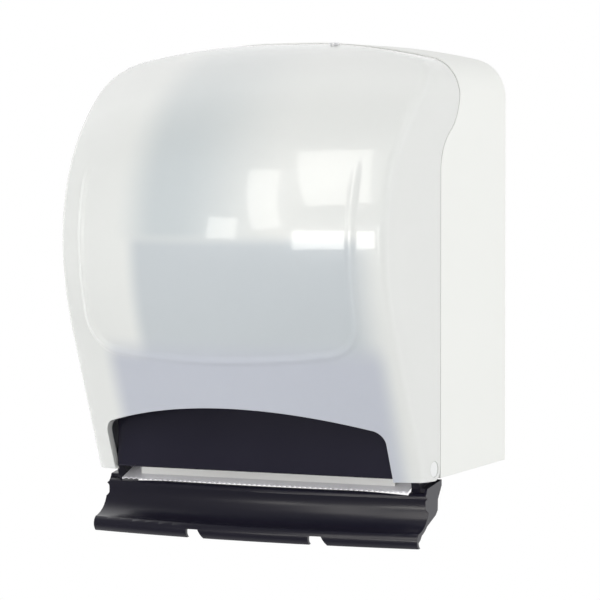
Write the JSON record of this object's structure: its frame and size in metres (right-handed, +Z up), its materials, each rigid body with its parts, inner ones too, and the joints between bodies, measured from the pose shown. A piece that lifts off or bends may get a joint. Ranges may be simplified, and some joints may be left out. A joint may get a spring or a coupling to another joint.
{
  "type": "lever paper towel dispenser",
  "caption": "Wall-mounted roll towel dispenser with a translucent bowed cover, arched dark panel, steel tear bar and full-width push lever.",
  "frame": {"origin": "centre of the wall screw pattern, in the housing's back face", "axes": "+Z up, +Y into the wall, +X to the right when facing the dispenser"},
  "size_m": [0.328, 0.2295, 0.4225],
  "materials": {
    "cover_pearl": "translucent pearl, glossy",
    "housing_white": "satin",
    "panel_dark": "glossy",
    "lever_black": "glossy",
    "steel": "bright",
    "spring_steel": "drawn wire",
    "frame_grey": "moulded",
    "gear_white": "moulded",
    "roller_rubber": "ground",
    "pin_light": "moulded",
    "lock_chrome": "polished"
  },
  "bodies": {
    "housing": {"arm_pin_left": "steel", "arm_pin_right": "steel", "arm_spring_left": "spring_steel", "arm_spring_right": "spring_steel", "back_chassis": "housing_white", "cross_plate": "frame_grey", "exit_guide": "gear_white", "front_panel": "panel_dark", "hinge_pin_left": "pin_light", "hinge_pin_right": "pin_light", "idler_axle": "steel", "idler_clip": "spring_steel", "lever_spring": "spring_steel", "panel_screws": "steel", "pinch_spring_left": "spring_steel", "pinch_spring_right": "spring_steel", "plate_screws": "steel", "shaft_bush_left": "gear_white", "shaft_bush_right": "gear_white", "side_plate_left": "frame_grey", "side_plate_right": "frame_grey", "strike_plate": "steel", "stub_cradle": "frame_grey", "tear_bar": "steel", "tear_bar_screws": "steel", "transfer_spring": "spring_steel"},
    "cover": {"front_cover": "cover_pearl", "lock_barrel": "lock_chrome", "lock_nut": "steel"},
    "lever": {"push_lever": "lever_black"},
    "clutch": {"clutch_gear": "gear_white", "roller_clutch": "steel"},
    "idler": {"idler_gear": "gear_white"},
    "feed_roller": {"drive_shaft": "steel", "drive_pinion": "gear_white", "drive_core": "frame_grey", "drive_rings": "roller_rubber", "feed_knob": "lever_black"},
    "pinch_carriage": {"pinch_block_left": "gear_white", "pinch_block_right": "gear_white"},
    "pinch_roller": {"pinch_shaft": "steel", "pinch_sleeves": "roller_rubber"},
    "transfer": {"transfer_bar": "frame_grey"},
    "arm_left": {"roll_arm_left": "frame_grey"},
    "arm_right": {"roll_arm_right": "frame_grey"},
    "hub_left": {"core_hub_left": "gear_white"},
    "hub_right": {"core_hub_right": "gear_white"},
    "lock": {"lock_cam": "lock_chrome"}
  },
  "joints": [
    {"name": "cover_open", "type": "hinge", "parent": "housing", "child": "cover", "pos_m": [0, -0.12131, -0.162], "axis": [1, 0, 0], "range_deg": [0, 58]},
    {"name": "lever_push", "type": "hinge", "parent": "cover", "child": "lever", "pos_m": [0, -0.12131, -0.162], "axis": [1, 0, 0], "range_deg": [0, 30], "stiffness_Nm_per_rad": 1, "springref_deg": -17.19},
    {"name": "clutch_spin", "type": "hinge", "parent": "housing", "child": "clutch", "pos_m": [0, -0.12131, -0.162], "axis": [1, 0, 0], "range_deg": [0, 30.1]},
    {"name": "idler_spin", "type": "hinge", "parent": "housing", "child": "idler", "pos_m": [0, -0.11983, -0.14506], "axis": [1, 0, 0], "range_deg": [-43, 0]},
    {"name": "feed_spin", "type": "hinge", "parent": "housing", "child": "feed_roller", "pos_m": [0, -0.09726, -0.12849], "axis": [1, 0, 0], "range_deg": [0, 129]},
    {"name": "pinch_lift", "type": "slide", "parent": "housing", "child": "pinch_carriage", "axis": [0, 0, 1], "range_m": [0, 0.0025], "stiffness_N_per_m": 800, "springref_m": -0.003, "deforming": ["pinch_spring_left", "pinch_spring_right"]},
    {"name": "pinch_spin", "type": "hinge", "parent": "pinch_carriage", "child": "pinch_roller", "pos_m": [0, -0.11657, -0.10918], "axis": [1, 0, 0], "range_deg": [-258, 0]},
    {"name": "transfer_swing", "type": "hinge", "parent": "housing", "child": "transfer", "pos_m": [0, -0.13401, -0.072], "axis": [1, 0, 0], "range_deg": [0, 20], "stiffness_Nm_per_rad": 0.05, "springref_deg": -17.19},
    {"name": "left_arm_swing", "type": "hinge", "parent": "housing", "child": "arm_left", "pos_m": [-0.11231, -0.013, 0.075], "axis": [0, 0, -1], "range_deg": [0, 18], "stiffness_Nm_per_rad": 0.4, "springref_deg": -17.19},
    {"name": "right_arm_swing", "type": "hinge", "parent": "housing", "child": "arm_right", "pos_m": [0.11231, -0.013, 0.075], "axis": [0, 0, 1], "range_deg": [0, 18], "stiffness_Nm_per_rad": 0.4, "springref_deg": -17.19},
    {"name": "left_hub_spin", "type": "hinge", "parent": "arm_left", "child": "hub_left", "pos_m": [-0.1, -0.112, 0.075], "axis": [1, 0, 0], "continuous": true},
    {"name": "right_hub_spin", "type": "hinge", "parent": "arm_right", "child": "hub_right", "pos_m": [0.1, -0.112, 0.075], "axis": [1, 0, 0], "continuous": true},
    {"name": "lock_turn", "type": "hinge", "parent": "cover", "child": "lock", "pos_m": [0.047, -0.08999, 0.171], "axis": [0, 0, -1], "range_deg": [0, 90]}
  ],
  "couplings": [
    {"joint": "clutch_spin", "follows": "lever_push", "ratio": 1},
    {"joint": "idler_spin", "follows": "lever_push", "ratio": -1.4286},
    {"joint": "feed_spin", "follows": "lever_push", "ratio": 4.2857},
    {"joint": "pinch_spin", "follows": "lever_push", "ratio": -8.5714}
  ]
}
